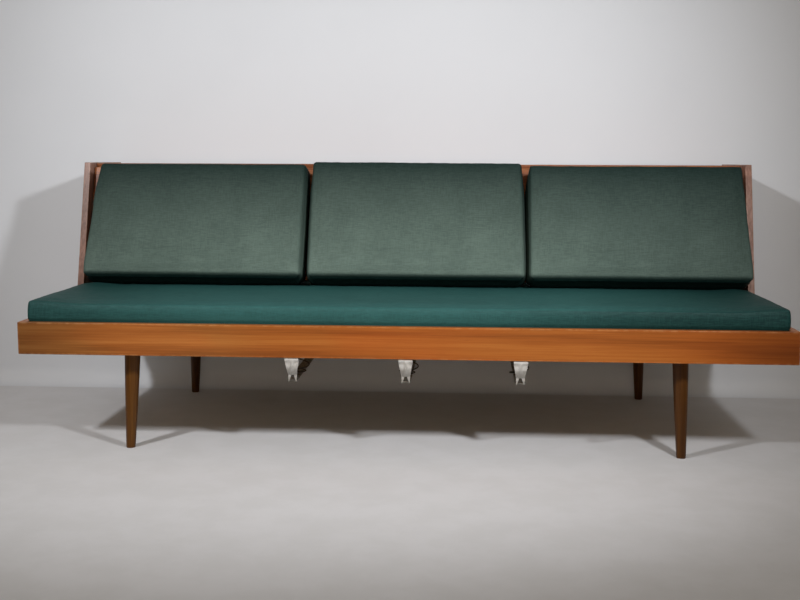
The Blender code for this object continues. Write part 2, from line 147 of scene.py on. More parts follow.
class Nodes:
    """A short hand for building a material's node tree."""

    def __init__(self, name, color, roughness, metallic=0.0):
        self.material = bpy.data.materials.new(name)
        self.material.use_nodes = True
        self.tree = self.material.node_tree
        self.shader = self.tree.nodes["Principled BSDF"]
        self.shader.inputs["Base Color"].default_value = (*color, 1.0)
        self.shader.inputs["Roughness"].default_value = roughness
        self.shader.inputs["Metallic"].default_value = metallic
        self.material.diffuse_color = (*color, 1.0)
        self.place = self.add("ShaderNodeTexCoord").outputs["Object"]

    def add(self, kind, **settings):
        node = self.tree.nodes.new(kind)
        for key, value in settings.items():
            setattr(node, key, value)
        return node

    def link(self, output, socket):
        self.tree.links.new(output, socket)

    def feed(self, socket, value):
        if isinstance(value, bpy.types.NodeSocket):
            self.link(value, socket)
        else:
            socket.default_value = value

    def scaled(self, scale, shift=(0.0, 0.0, 0.0)):
        """Object coordinates, scaled and then shifted."""
        mapping = self.add("ShaderNodeMapping")
        self.link(self.place, mapping.inputs["Vector"])
        mapping.inputs["Location"].default_value = shift
        mapping.inputs["Scale"].default_value = scale
        return mapping.outputs["Vector"]

    def noise(self, vector, scale=1.0, detail=3.0, roughness=0.5, distortion=0.0):
        node = self.add("ShaderNodeTexNoise")
        self.link(vector, node.inputs["Vector"])
        node.inputs["Scale"].default_value = scale
        node.inputs["Detail"].default_value = detail
        node.inputs["Roughness"].default_value = roughness
        node.inputs["Distortion"].default_value = distortion
        return node.outputs["Fac"]

    def math(self, operation, a, b=0.0):
        node = self.add("ShaderNodeMath", operation=operation)
        self.feed(node.inputs[0], a)
        self.feed(node.inputs[1], b)
        return node.outputs[0]

    def span(self, value, low, high, to_low=0.0, to_high=1.0):
        node = self.add("ShaderNodeMapRange", interpolation_type="SMOOTHSTEP")
        self.feed(node.inputs["Value"], value)
        node.inputs["From Min"].default_value = low
        node.inputs["From Max"].default_value = high
        node.inputs["To Min"].default_value = to_low
        node.inputs["To Max"].default_value = to_high
        return node.outputs["Result"]

    def mix(self, factor, a, b, blend="MIX"):
        node = self.add("ShaderNodeMix", data_type="RGBA", blend_type=blend)
        self.feed(node.inputs["Factor"], factor)
        for socket, value in ((node.inputs["A"], a), (node.inputs["B"], b)):
            if not isinstance(value, bpy.types.NodeSocket):
                value = (*value, 1.0)
            self.feed(socket, value)
        return node.outputs["Result"]

    def ramp(self, factor, stops):
        node = self.add("ShaderNodeValToRGB")
        self.link(factor, node.inputs["Fac"])
        elements = node.color_ramp.elements
        while len(elements) < len(stops):
            elements.new(0.5)
        for element, (position, color) in zip(elements, stops):
            element.position = position
            element.color = (*color, 1.0)
        return node.outputs["Color"]

    def bump(self, height, strength, distance, before=None):
        node = self.add("ShaderNodeBump")
        node.inputs["Strength"].default_value = strength
        node.inputs["Distance"].default_value = distance
        self.link(height, node.inputs["Height"])
        if before is not None:
            self.link(before, node.inputs["Normal"])
        return node.outputs["Normal"]

    def axes(self, vector):
        node = self.add("ShaderNodeSeparateXYZ")
        self.link(vector, node.inputs[0])
        return node.outputs

    def attribute(self, name):
        return self.add("ShaderNodeAttribute", attribute_name=name).outputs["Fac"]

    def set(self, socket, value):
        self.feed(self.shader.inputs[socket], value)


def wood(name, stops, worn, roughness, along="X", coat=0.0, end_tints_and_shade=()):
    """Timber with its grain along one axis: broad bands, fine streaks, open pores and worn edges.

    Each end tint is where along X it starts, where it is full, and what it multiplies the colour by; grey
    ones paint shade that darkens the ends.
    """
    tree = Nodes(name, stops[len(stops) // 2][1], roughness)
    long_axis = "XYZ".index(along)

    def stretched(along_scale, across_scale, shift=0.0):
        scale = [across_scale] * 3
        scale[long_axis] = along_scale
        return tree.scaled(scale, (shift, shift * 0.7, shift * 1.3))

    bands = tree.noise(stretched(0.9, 26.0), 1.0, 4.0, 0.55, 0.6)
    streaks = tree.noise(stretched(3.5, 210.0, 3.1), 1.0, 3.0, 0.6, 0.2)
    patches = tree.noise(stretched(2.2, 7.0, 7.7), 1.0, 2.0, 0.5)
    pores = tree.noise(stretched(26.0, 1100.0, 1.9), 1.0, 2.0, 0.6)
    tone = tree.math("ADD", tree.math("MULTIPLY", bands, 0.62), tree.math("MULTIPLY", streaks, 0.38))
    color = tree.ramp(tree.span(tone, 0.31, 0.69), stops)
    redder = tree.mix(1.0, color, (1.10, 0.84, 0.70), "MULTIPLY")
    color = tree.mix(tree.span(patches, 0.50, 0.68, 0.0, 0.50), color, redder)
    pore = tree.span(pores, 0.60, 0.72)
    color = tree.mix(tree.math("MULTIPLY", pore, 0.35), color, stops[0][1])
    along_x = tree.axes(tree.place)["X"]
    # Painted shade: grey end tints darken the ends; coloured ones shift the wood's tone.
    for start, full, tint in end_tints_and_shade:
        share = tree.span(along_x, start, full)
        color = tree.mix(share, color, tree.mix(1.0, color, tint, "MULTIPLY"))
    scuffs = tree.noise(tree.scaled((60.0, 60.0, 60.0)), 1.0, 4.0, 0.65)
    wear = tree.math("MULTIPLY", tree.attribute("wear"), tree.span(scuffs, 0.40, 0.62))
    color = tree.mix(tree.math("MULTIPLY", wear, 0.22), color, worn)
    tree.set("Base Color", color)
    tree.set("Roughness", tree.span(streaks, 0.3, 0.7, roughness - 0.06, roughness + 0.08))
    tree.shader.inputs["Specular IOR Level"].default_value = 0.16
    tree.shader.inputs["Coat Weight"].default_value = coat
    tree.shader.inputs["Coat Roughness"].default_value = 0.30
    relief = tree.math("SUBTRACT", tree.math("MULTIPLY", streaks, 0.5), pore)
    tree.set("Normal", tree.bump(relief, 0.35, 0.00025))
    return tree.material


def weave(name, thread, dark, light, sheen_tone, roughness, specular):
    """A plain weave with slubs along both threads, pale threads where a sheen is painted on, rubbed edges."""
    tree = Nodes(name, thread, roughness)
    place = tree.axes(tree.place)
    facing = tree.axes(tree.add("ShaderNodeTexCoord").outputs["Normal"])
    turns = 2 * math.pi / WEAVE_PITCH
    wave = [tree.math("SINE", tree.math("MULTIPLY", place[i], turns)) for i in range(3)]
    weight = [tree.math("POWER", tree.math("ABSOLUTE", facing[i]), 3.0) for i in range(3)]
    relief = None
    for a, b, c in ((0, 1, 2), (1, 2, 0), (2, 0, 1)):
        cell = tree.math("MULTIPLY", tree.math("MULTIPLY", wave[b], wave[c]), weight[a])
        relief = cell if relief is None else tree.math("ADD", relief, cell)
    weft = tree.noise(tree.scaled((42.0, 300.0, 430.0)), 1.0, 3.0, 0.65)
    warp = tree.noise(tree.scaled((430.0, 300.0, 42.0), shift=(3.0, 1.0, 2.0)), 1.0, 3.0, 0.65)
    slub = tree.math("ADD", tree.math("MULTIPLY", weft, 0.60), tree.math("MULTIPLY", warp, 0.40))
    blotch = tree.noise(tree.scaled((7.0, 7.0, 7.0), shift=(0.4, 0.2, 0.9)), 1.0, 3.0, 0.6)
    color = tree.mix(tree.span(slub, *SLUB_SPAN), dark, light)
    # Painted sheen: pale threads laid over the colour where the painted_sheen attribute is high.
    pale_dark, pale_light = [0.88 * c for c in sheen_tone], [1.12 * c for c in sheen_tone]
    pale = tree.mix(tree.span(slub, *SLUB_SPAN), pale_dark, pale_light)
    painted_sheen = tree.math("MULTIPLY", tree.attribute("painted_sheen"), tree.span(blotch, 0.20, 0.80, 0.86, 1.10))
    color = tree.mix(painted_sheen, color, pale)
    # Painted shade: the weave darkens in the hollows between its threads.
    color = tree.mix(tree.span(relief, -1.0, 1.0, 0.16, 0.0), color, (0.0, 0.0, 0.0))
    rubbed = tree.math("MULTIPLY", tree.attribute("wear"), tree.span(slub, 0.42, 0.62))
    color = tree.mix(tree.math("MULTIPLY", rubbed, 0.5), color, [min(1.0, 2.6 * c) for c in light])
    tree.set("Base Color", color)
    tree.set("Roughness", tree.span(slub, 0.35, 0.65, roughness + 0.05, roughness - 0.05))
    tree.shader.inputs["Specular IOR Level"].default_value = specular
    first = tree.bump(slub, 0.34, 0.0009)
    tree.set("Normal", tree.bump(relief, 0.5, 0.00022, first))
    return tree.material


def painted_steel():
    """White enamel on pressed steel, flecked with chips and grimy in patches, with painted shade that darkens
    it towards the prongs.
    """
    tree = Nodes("white_enamel", (0.72, 0.70, 0.66), 0.42)
    grime = tree.noise(tree.scaled((90.0, 90.0, 55.0)), 1.0, 5.0, 0.65)
    low = tree.span(tree.axes(tree.place)["Z"], *PRONG_SHADE_HEIGHTS)
    color = tree.mix(tree.span(grime, 0.42, 0.70, 0.0, 0.60), (0.56, 0.54, 0.51), (0.34, 0.31, 0.26))
    # Painted shade: the sheet darkens towards the prongs, below the rail.
    color = tree.mix(tree.math("MULTIPLY", low, 0.72), color, (0.13, 0.118, 0.095))
    specks = tree.noise(tree.scaled((420.0, 420.0, 420.0)), 1.0, 3.0, 0.6)
    color = tree.mix(tree.span(specks, 0.66, 0.72, 0.0, 0.7), color, (0.10, 0.07, 0.05))
    tree.set("Base Color", color)
    tree.set("Roughness", tree.span(grime, 0.3, 0.7, 0.36, 0.58))
    tree.set("Normal", tree.bump(specks, 0.25, 0.0002))
    return tree.material


def bare_metal(name, color, rust, roughness, metallic, rust_share):
    """Drawn or rolled steel with a rust bloom and fine lengthwise scratches."""
    tree = Nodes(name, color, roughness, metallic)
    bloom = tree.noise(tree.scaled((70.0, 70.0, 70.0)), 1.0, 5.0, 0.65)
    scratch = tree.noise(tree.scaled((700.0, 25.0, 700.0)), 1.0, 2.0, 0.5)
    spots = tree.span(bloom, 0.62 - rust_share * 0.25, 0.74 - rust_share * 0.2)
    tree.set("Base Color", tree.mix(spots, color, rust))
    tree.set("Roughness", tree.span(bloom, 0.35, 0.75, roughness, min(1.0, roughness + 0.3)))
    tree.set("Normal", tree.bump(scratch, 0.3, 0.0002))
    return tree.material


def make_materials():
    teak_stops = [
        (0.00, (0.200, 0.052, 0.008)),
        (0.35, (0.285, 0.079, 0.012)),
        (0.65, (0.330, 0.096, 0.015)),
        (1.00, (0.385, 0.124, 0.022)),
    ]
    cheek_stops = [
        (0.00, (0.120, 0.058, 0.038)),
        (0.40, (0.220, 0.120, 0.088)),
        (0.70, (0.290, 0.170, 0.132)),
        (1.00, (0.380, 0.240, 0.195)),
    ]
    dark_stops = [
        (0.00, (0.090, 0.026, 0.009)),
        (0.40, (0.200, 0.062, 0.020)),
        (0.70, (0.270, 0.092, 0.032)),
        (1.00, (0.350, 0.135, 0.055)),
    ]
    leg_stops = [
        (0.00, (0.042, 0.014, 0.002)),
        (0.40, (0.074, 0.026, 0.003)),
        (0.70, (0.094, 0.035, 0.004)),
        (1.00, (0.126, 0.052, 0.008)),
    ]
    pine_stops = [
        (0.00, (0.300, 0.180, 0.080)),
        (0.40, (0.460, 0.300, 0.150)),
        (0.70, (0.560, 0.390, 0.210)),
        (1.00, (0.650, 0.480, 0.290)),
    ]
    worn = (0.62, 0.33, 0.14)
    return {
        "teak_long": wood("teak_long", teak_stops, worn, 0.42, "X", 0.08, RAIL_TINTS_AND_END_SHADE),
        "teak_deep": wood("teak_deep", teak_stops, worn, 0.40, "Y", 0.15),
        "cheek": wood("teak_cheek", cheek_stops, (0.50, 0.33, 0.24), 0.42, "Z", 0.10),
        "board": wood("teak_board", dark_stops, (0.45, 0.22, 0.10), 0.42, "X", 0.10),
        "leg": wood("stained_leg", leg_stops, (0.30, 0.18, 0.08), 0.36, "Z", 0.10),
        "pine_long": wood("pine_long", pine_stops, (0.70, 0.55, 0.36), 0.62, "X"),
        "pine_deep": wood("pine_deep", pine_stops, (0.70, 0.55, 0.36), 0.62, "Y"),
        "enamel": painted_steel(),
        "steel": bare_metal("rolled_steel", (0.30, 0.29, 0.27), (0.16, 0.08, 0.04), 0.38, 0.9, 0.5),
        "zinc": bare_metal("zinc_steel", (0.55, 0.54, 0.52), (0.30, 0.22, 0.14), 0.34, 1.0, 0.1),
        "spring": bare_metal("spring_wire", (0.045, 0.038, 0.032), (0.10, 0.05, 0.025), 0.45, 0.6, 0.5),
        "cushion": weave(
            "cushion_weave",
            (0.0050, 0.0165, 0.0145),
            (0.0035, 0.0135, 0.0120),
            (0.0068, 0.0200, 0.0178),
            # pale colour of the painted sheen
            (0.144, 0.198, 0.167),
            0.62,
            0.08,
        ),
        "mattress": weave(
            "mattress_weave",
            (0.006, 0.034, 0.031),
            (0.004, 0.029, 0.027),
            (0.008, 0.040, 0.036),
            # pale colour of the painted sheen
            (0.027, 0.103, 0.097),
            0.58,
            0.17,
        ),
    }


# ---------------------------------------------------------------------------------------------
# Wood
# ---------------------------------------------------------------------------------------------


def make_board(name, outline, low, high, axis="Z", place_at=None):
    """A board from its outline, extruded from low to high along an axis, with rounded edges.

    The outline is drawn in the two other axes in their XYZ order. Each flat face gets an inset
    band, and the vertex attribute "wear" runs from 1 at the edges to 0 inside the band.
    """
    shape = bmesh.new()
    third = "XYZ".index(axis)

    def place(point, level):
        spot = list(point)
        spot.insert(third, level)
        return shape.verts.new(spot)

    face = shape.faces.new([place(point, low) for point in outline])
    made = bmesh.ops.extrude_face_region(shape, geom=[face])
    moved = [item for item in made["geom"] if isinstance(item, bmesh.types.BMVert)]
    step = Vector((0.0, 0.0, 0.0))
    step[third] = high - low
    bmesh.ops.translate(shape, vec=step, verts=moved)
    bmesh.ops.recalc_face_normals(shape, faces=shape.faces)
    flat_count = len(shape.faces)
    bmesh.ops.bevel(
        shape, geom=shape.edges[:], offset=BOARD_ROUND, segments=3, profile=0.5, affect="EDGES"
    )
    flats = sorted(shape.faces, key=lambda item: -item.calc_area())[:flat_count]
    bmesh.ops.inset_individual(shape, faces=flats, thickness=WEAR_WIDTH, use_even_offset=True)
    layer = shape.verts.layers.float.new("wear")
    inner = {vert for item in flats for vert in item.verts}
    for vert in shape.verts:
        vert[layer] = 0.0 if vert in inner else 1.0
    obj = object_from(shape, name)
    if place_at is not None:
        obj.matrix_world = place_at
    obj.data.shade_smooth()
    weighted = obj.modifiers.new("Weighted", "WEIGHTED_NORMAL")
    weighted.weight = 90
    weighted.keep_sharp = True
    return obj


def make_rails(looks):
    """The mitred frame, each rail's outline drawn from above."""
    low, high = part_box("front_rail")
    thick = high.y - low.y
    _, rear_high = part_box("rear_rail")
    half, gap = high.x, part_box("left_end_rail")[0].y - low.y
    long_half = half - thick
    rear = rear_high.y
    outlines = {
        "front_rail": [(-half, -rear), (half, -rear), (long_half, thick - rear), (-long_half, thick - rear)],
        "rear_rail": [(-long_half, rear - thick), (long_half, rear - thick), (half, rear), (-half, rear)],
    }
    end = rear - gap
    for side, sign in (("left", -1), ("right", 1)):
        points = [(half, -end), (half, end), (long_half, end - thick), (long_half, thick - end)]
        outlines[side + "_end_rail"] = [(sign * x, y) for x, y in points]
    for name, outline in outlines.items():
        board = make_board(name + "_board", outline, low.z, high.z)
        look = looks["teak_deep"] if "end" in name else looks["teak_long"]
        dress(board, look, "frame", [name])


def make_cheeks(looks):
    """The side cheeks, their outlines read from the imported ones."""
    for side in ("left", "right"):
        name = side + "_cheek"
        low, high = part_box(name)
        points = node_points(name)
        foot = points[points[:, 2] < low.z + 0.003]
        top = points[points[:, 2] > high.z - 0.003]
        outline = [(foot[:, 1].min(), low.z), (high.y, low.z), (high.y, high.z), (top[:, 1].min(), high.z)]
        board = make_board(name + "_board", outline, low.x, high.x, "X")
        dress(board, looks["cheek"], "frame", [name])


def make_top_board(looks):
    low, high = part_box("top_board")
    outline = [(low.x, low.z), (high.x, low.z), (high.x, high.z), (low.x, high.z)]
    board = make_board("top_board_plank", outline, low.y, high.y, "Y")
    dress(board, looks["board"], "frame", ["top_board"])


def lean_frame():
    """The frame whose Z axis runs up the leaning back and whose Y axis runs through it."""
    return Matrix.Rotation(-LEAN, 4, "X")


def leaning_box(name):
    """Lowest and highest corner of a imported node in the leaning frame."""
    turned = node_points(name) @ np.array(lean_frame().to_3x3())
    return Vector(turned.min(axis=0)), Vector(turned.max(axis=0))


def make_panel(looks):
    low, high = leaning_box("back_panel")
    outline = [(low.x, low.y), (high.x, low.y), (high.x, high.y), (low.x, high.y)]
    board = make_board("back_panel_board", outline, low.z, high.z, "Z", lean_frame())
    dress(board, looks["board"], "back_panel", ["back_panel"])


def make_legs(looks):
    """Turned legs: a shoulder, a long taper with a slight swell, and a rounded foot."""
    for corner in ("front_left", "front_right", "rear_left", "rear_right"):
        name = corner + "_leg"
        points = node_points(name)
        low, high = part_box(name)
        bolt_low, bolt_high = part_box(name + "_bolt")
        foot_ring = points[points[:, 2] < low.z + 0.0005]
        foot = Vector(foot_ring.mean(axis=0))
        bolt = (bolt_low + bolt_high) / 2
        axis = (bolt - foot).normalized()
        top_ring = points[points[:, 2] > high.z - 0.003]
        top = foot + axis * (Vector(top_ring.mean(axis=0)) - foot).dot(axis)
        length = (top - foot).length
        foot_radius = np.linalg.norm(foot_ring - foot, axis=1).max()
        top_radius = np.linalg.norm(top_ring - np.array(top), axis=1).max()
        profile = [(0.0, length), (top_radius - 0.0014, length), (top_radius - 0.0004, length - 0.0005)]
        profile += [(top_radius, length - 0.0015), (top_radius, length - 0.012)]
        taper = 18
        for step in range(1, taper + 1):
            share = step / taper
            swell = 0.0006 * math.sin(math.pi * share)
            radius = top_radius + (foot_radius - top_radius) * share + swell
            profile.append((radius, (length - 0.012) * (1 - share) + 0.0015 * share))
        profile += [(foot_radius - 0.0005, 0.0004), (foot_radius - 0.0014, -0.003), (0.0, -0.003)]
        shape = lathe(profile, 48)
        turn = axis.to_track_quat("Z", "Y").to_matrix().to_4x4()
        shape.transform(Matrix.Translation(foot) @ turn)
        made = cut(shape, (0, 0, 0), (0, 0, -1), clear=True)
        rim = [item for item in made["geom_cut"] if isinstance(item, bmesh.types.BMEdge)]
        bmesh.ops.contextual_create(shape, geom=rim)
        bmesh.ops.recalc_face_normals(shape, faces=shape.faces)
        leg = object_from(shape, name + "_turned")
        shade_smooth(leg)
        dress(leg, looks["leg"], "frame", [name])


# ---------------------------------------------------------------------------------------------
# Hangers and springs
# ---------------------------------------------------------------------------------------------

HANGER_SHEET = 0.0016
HANGER_FOLD = 0.0025  # inner radius where the flange is folded
HANGER_JOG = (0.2400, 0.2070)  # heights between which the sheet bends back
RIDGE_HEIGHT = 0.0042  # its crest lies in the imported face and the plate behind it
RIDGE_WIDTH = 0.0050
RIDGE_CURVE = 1.3  # above 1, the ridge's sides are hollow
PLATE_FADES = (0.012, 0.006)  # heights over which the ridge fades in under the fold and out at the notch
SHEET_ROWS, SHEET_COLUMNS = 34, 23  # cuts that let the flat sheet bend
FLANK_SWEEP = 0.0042  # flanks' bend back at the edges
FLANK_RISE = 0.004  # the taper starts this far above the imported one's
PRONG_DROP = 0.004  # and ends this far below the notch's top
NOTCH_NARROW = 0.55  # half width of the notch's round top, as a share of that between the prongs' feet
NOTCH_RISE = 0.002  # the notch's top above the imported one's
HANGER_EDGE_ROOM = 0.0004  # keeps the swept flanks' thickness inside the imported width
SCREW_OFFSET = 0.0125
SCREW_RADIUS = 0.0030
SCREW_DOME = 0.0016
SCREW_SLOT = 0.0009
SPRING_WIRE = 0.0016
SPRING_TURNS = 3.75
SPRING_START = -0.275  # where the wire starts, in turns from +X
SPRING_RADII = (0.014, 0.044)
SPRING_Y = (-0.290, 0.0, 0.290)


def smooth_share(value, low, high):
    share = np.clip((value - low) / (high - low), 0.0, 1.0)
    return share * share * (3 - 2 * share)


def hanger_outline(points, middle, top):
    """Half outline of the flat sheet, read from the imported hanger, with curved flanks and prongs."""
    across = np.abs(points[:, 0] - middle)
    head = across.max()
    foot = points[:, 2].min()
    at_foot = across[points[:, 2] < foot + 0.0005]
    prong_out, prong_in = at_foot.max(), at_foot.min()
    notch_top = points[(across < 0.0005) & (points[:, 2] < top - 0.01)][:, 2].min() + NOTCH_RISE
    taper_top = points[across > head - 0.0002][:, 2].min()
    flank_steps, notch_steps = 12, 8
    flange_length = np.ptp(points[:, 1]) - HANGER_SHEET
    head -= HANGER_EDGE_ROOM
    half = [(head, top + flange_length)]
    for step in range(flank_steps + 1):
        share = step / flank_steps
        eased = 1 - (1 - share) ** 1.25
        height = taper_top + FLANK_RISE + (notch_top - PRONG_DROP - taper_top - FLANK_RISE) * share
        half.append((head + (prong_out - head) * eased, height))
    half += [(prong_out - 0.0004, foot + 0.0008), (prong_out - 0.0010, foot)]
    half += [(prong_out - 0.0018, foot), (prong_out - 0.0024, foot + 0.0008)]
    radius = prong_in * NOTCH_NARROW
    centre = notch_top - radius
    for step in range(notch_steps):
        angle = step / notch_steps * math.pi / 2
        half.append((radius * math.cos(angle), centre + radius * math.sin(angle)))
    return half + [(0.0, notch_top)], notch_top


def make_hanger(name, looks):
    """A pressed hanger: flange folded under the rail, a central ridge, swept flanks, two prongs."""
    points = node_points(name)
    low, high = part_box(name)
    middle = (low.x + high.x) / 2
    sign = -1 if high.y < 0 else 1
    face = max(abs(low.y), abs(high.y)) - HANGER_SHEET / 2
    prongs = np.abs(points[points[:, 2] < low.z + 0.0005][:, 1]).mean()
    top = high.z - HANGER_SHEET / 2
    half, notch_top = hanger_outline(points, middle, top)
    outline = half + [(-x, z) for x, z in reversed(half[:-1])]
    shape = bmesh.new()
    corners = [shape.verts.new((x, z, 0.0)) for x, z in outline]
    edges = [shape.edges.new(pair) for pair in zip(corners, corners[1:] + corners[:1])]
    bmesh.ops.triangle_fill(shape, edges=edges, use_beauty=True)
    bottom = low.z
    levels = np.linspace(bottom + 0.002, top + high.y - low.y, SHEET_ROWS)
    columns = np.linspace(-RIDGE_WIDTH * 3.4, RIDGE_WIDTH * 3.4, SHEET_COLUMNS)
    for z in levels:
        cut(shape, (0, z, 0), (0, 1, 0))
    for x in columns:
        cut(shape, (x, 0, 0), (1, 0, 0))
    fold_start = top - HANGER_FOLD
    for vert in shape.verts:
        across, up, _ = vert.co
        jog = smooth_share(up, *HANGER_JOG)
        depth = (face - prongs) * jog
        on_plate = smooth_share(up, fold_start, fold_start - PLATE_FADES[0])
        on_plate *= smooth_share(up, notch_top - PLATE_FADES[1], notch_top)
        ridge = RIDGE_HEIGHT * max(0.0, 1.0 - abs(across) / RIDGE_WIDTH) ** RIDGE_CURVE
        flank = FLANK_SWEEP * (across / ((high.x - low.x) / 2)) ** 2
        depth += on_plate * (flank + RIDGE_HEIGHT - ridge)
        height = up
        if up > fold_start:
            angle = min((up - fold_start) / HANGER_FOLD, math.pi / 2)
            height = fold_start + HANGER_FOLD * math.sin(angle)
            beyond = max(0.0, up - fold_start - HANGER_FOLD * math.pi / 2)
            depth += HANGER_FOLD * (1 - math.cos(angle)) + beyond
        vert.co = (middle + across, sign * (face - depth), height)
    bmesh.ops.recalc_face_normals(shape, faces=shape.faces)
    hanger = object_from(shape, name + "_pressed")
    solidify = hanger.modifiers.new("Solidify", "SOLIDIFY")
    solidify.thickness = HANGER_SHEET
    solidify.offset = 0.0
    shade_smooth(hanger, math.radians(50))
    dress(hanger, looks["enamel"], "frame", [name])
    for side, x in (("a", middle - SCREW_OFFSET), ("b", middle + SCREW_OFFSET)):
        seat = Vector((x, sign * (face - (high.y - low.y) / 2), top - HANGER_SHEET / 2))
        make_screw(f"{name}_screw_{side}", seat, looks)


def make_screw(name, seat, looks):
    """A slotted round-head screw whose dome points down from seat."""
    steps = 8
    profile = [(0.0, -SCREW_DOME)]
    for step in range(1, steps + 1):
        angle = step / steps * math.pi / 2
        profile.append((SCREW_RADIUS * math.sin(angle), -SCREW_DOME * math.cos(angle)))
    profile += [(SCREW_RADIUS, 0.0002), (0.0, 0.0002)]
    shape = lathe(profile, 24)
    for x in (-SCREW_SLOT, -SCREW_SLOT / 2, SCREW_SLOT / 2, SCREW_SLOT):
        cut(shape, (x, 0, 0), (1, 0, 0))
    for vert in shape.verts:
        if abs(vert.co.x) < SCREW_SLOT * 0.6 and vert.co.z < 0.0:
            vert.co.z = max(vert.co.z, -SCREW_DOME * 0.45)
    bmesh.ops.recalc_face_normals(shape, faces=shape.faces)
    shape.transform(Matrix.Translation(seat))
    screw = object_from(shape, name)
    shade_smooth(screw)
    dress(screw, looks["zinc"], "frame")


def make_springs(looks):
    """Conical coil springs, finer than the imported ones, flat at both ends."""
    per_turn = 28
    count = round(SPRING_TURNS * per_turn)
    for side in ("left", "middle", "right"):
        band_low, band_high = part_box(side + "_spring_band")
        for place, y in zip(("front", "middle", "rear"), SPRING_Y):
            name = f"{side}_spring_{place}"
            low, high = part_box(name)
            bottom, top = low.z + SPRING_WIRE, high.z - SPRING_WIRE
            curve = bpy.data.curves.new(name + "_coil", "CURVE")
            curve.dimensions = "3D"
            curve.bevel_depth = SPRING_WIRE
            curve.bevel_resolution = 3
            curve.use_fill_caps = True
            spline = curve.splines.new("POLY")
            spline.points.add(count)
            for index, point in enumerate(spline.points):
                share = index / count
                angle = 2 * math.pi * (SPRING_START + SPRING_TURNS * share)
                radius = SPRING_RADII[0] + (SPRING_RADII[1] - SPRING_RADII[0]) * share**0.75
                rise = share - math.sin(2 * math.pi * share) / (2 * math.pi)
                z = bottom + (top - bottom) * rise
                point.co = (radius * math.cos(angle), radius * math.sin(angle), z, 1.0)
            coil = link(bpy.data.objects.new(name + "_coil", curve))
            coil.location = ((band_low.x + band_high.x) / 2, y, 0.0)
            dress(coil, looks["spring"], "frame", [name])


def finish_cad_nodes(looks):
    """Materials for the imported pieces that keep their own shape."""
    for name, node in nodes.items():
        look = None
        if "bearer" in name or "ledge" in name:
            look = looks["pine_deep"]
        elif "slat" in name or "corner_block" in name:
            look = looks["pine_long"]
        elif "stop_block" in name:
            look = looks["board"]
        elif "spring_band" in name:
            look = looks["steel"]
        elif "plate" in name or "bolt" in name or "pin" in name:
            look = looks["zinc"]
        if look is not None:
            node.data.materials.clear()
            node.data.materials.append(look)


# ---------------------------------------------------------------------------------------------
# Soft goods
# ---------------------------------------------------------------------------------------------


def soft_box(name, low, high, rounding, voxel):
    """A box with well rounded edges, remeshed evenly."""
    shape = bmesh.new()
    bmesh.ops.create_cube(shape, size=1.0)
    size = high - low
    bmesh.ops.scale(shape, vec=size, verts=shape.verts)
    bmesh.ops.translate(shape, vec=(low + high) / 2, verts=shape.verts)
    bmesh.ops.bevel(shape, geom=shape.edges[:], offset=rounding, segments=4, profile=0.5, affect="EDGES")
    obj = object_from(shape, name)
    remesh = obj.modifiers.new("Remesh", "REMESH")
    remesh.mode = "VOXEL"
    remesh.voxel_size = voxel
    return bake(obj)


def bake(obj):
    """Applies all of an object's modifiers."""
    graph = bpy.context.evaluated_depsgraph_get()
    mesh = bpy.data.meshes.new_from_object(obj.evaluated_get(graph))
    obj.modifiers.clear()
    obj.data = mesh
    return obj


def coords(mesh, kind="co"):
    flat = np.zeros(len(mesh.vertices) * 3)
    mesh.vertices.foreach_get(kind, flat)
    return flat.reshape(-1, 3)


def normals(mesh):
    return coords(mesh, "normal")


def set_coords(mesh, points):
    mesh.vertices.foreach_set("co", np.ascontiguousarray(points, dtype=np.float32).ravel())
    mesh.update()


def edge_distance(points):
    """How far each point lies from the nearest edge of the points' box."""
    to_low = points - points.min(axis=0)
    to_high = points.max(axis=0) - points
    return np.sort(np.minimum(to_low, to_high), axis=1)[:, 1]


def inflate(obj, cap):
    """Fills a soft piece by cloth simulation.

    Every point stays within cap of its start, and the sewn edges nearly keep their line.
    """
    start = coords(obj.data)
    cloth = obj.modifiers.new("Cloth", "CLOTH")
    settings = cloth.settings
    settings.quality = 3
    settings.mass = 0.3
    settings.tension_stiffness = 15.0
    settings.compression_stiffness = 15.0
    settings.shear_stiffness = 5.0
    settings.bending_stiffness = 0.5
    settings.use_pressure = True
    settings.uniform_pressure_force = CLOTH_PRESSURE
    settings.effector_weights.gravity = 0.0
    scene = bpy.context.scene
    for step in range(1, CLOTH_FRAMES + 1):
        scene.frame_set(step)
    graph = bpy.context.evaluated_depsgraph_get()
    filled = coords(obj.evaluated_get(graph).data)
    obj.modifiers.clear()
    scene.frame_set(1)
    move = filled - start
    length = np.linalg.norm(move, axis=1, keepdims=True)
    capped = cap * np.tanh(length / cap)
    held = SEAM_HOLD * smooth_share(edge_distance(start), *SEAM_REACH)
    capped *= 1 - held[:, None]
    set_coords(obj.data, start + move * capped / np.maximum(length, 1e-9))


def subdivide(obj):
    smooth = obj.modifiers.new("Smooth", "SUBSURF")
    smooth.levels = smooth.render_levels = 1
    return bake(obj)


def ripple(points, scale, seed):
    """Smooth noise at each point, about -1 to 1."""
    shift = Vector((seed, seed * 0.37, seed * 0.71))
    return np.array([noise.noise(Vector(point) * scale + shift) for point in points])


def store(obj, name, values):
    layer = obj.data.attributes.new(name, "FLOAT", "POINT")
    layer.data.foreach_set("value", np.ascontiguousarray(values, dtype=np.float32))


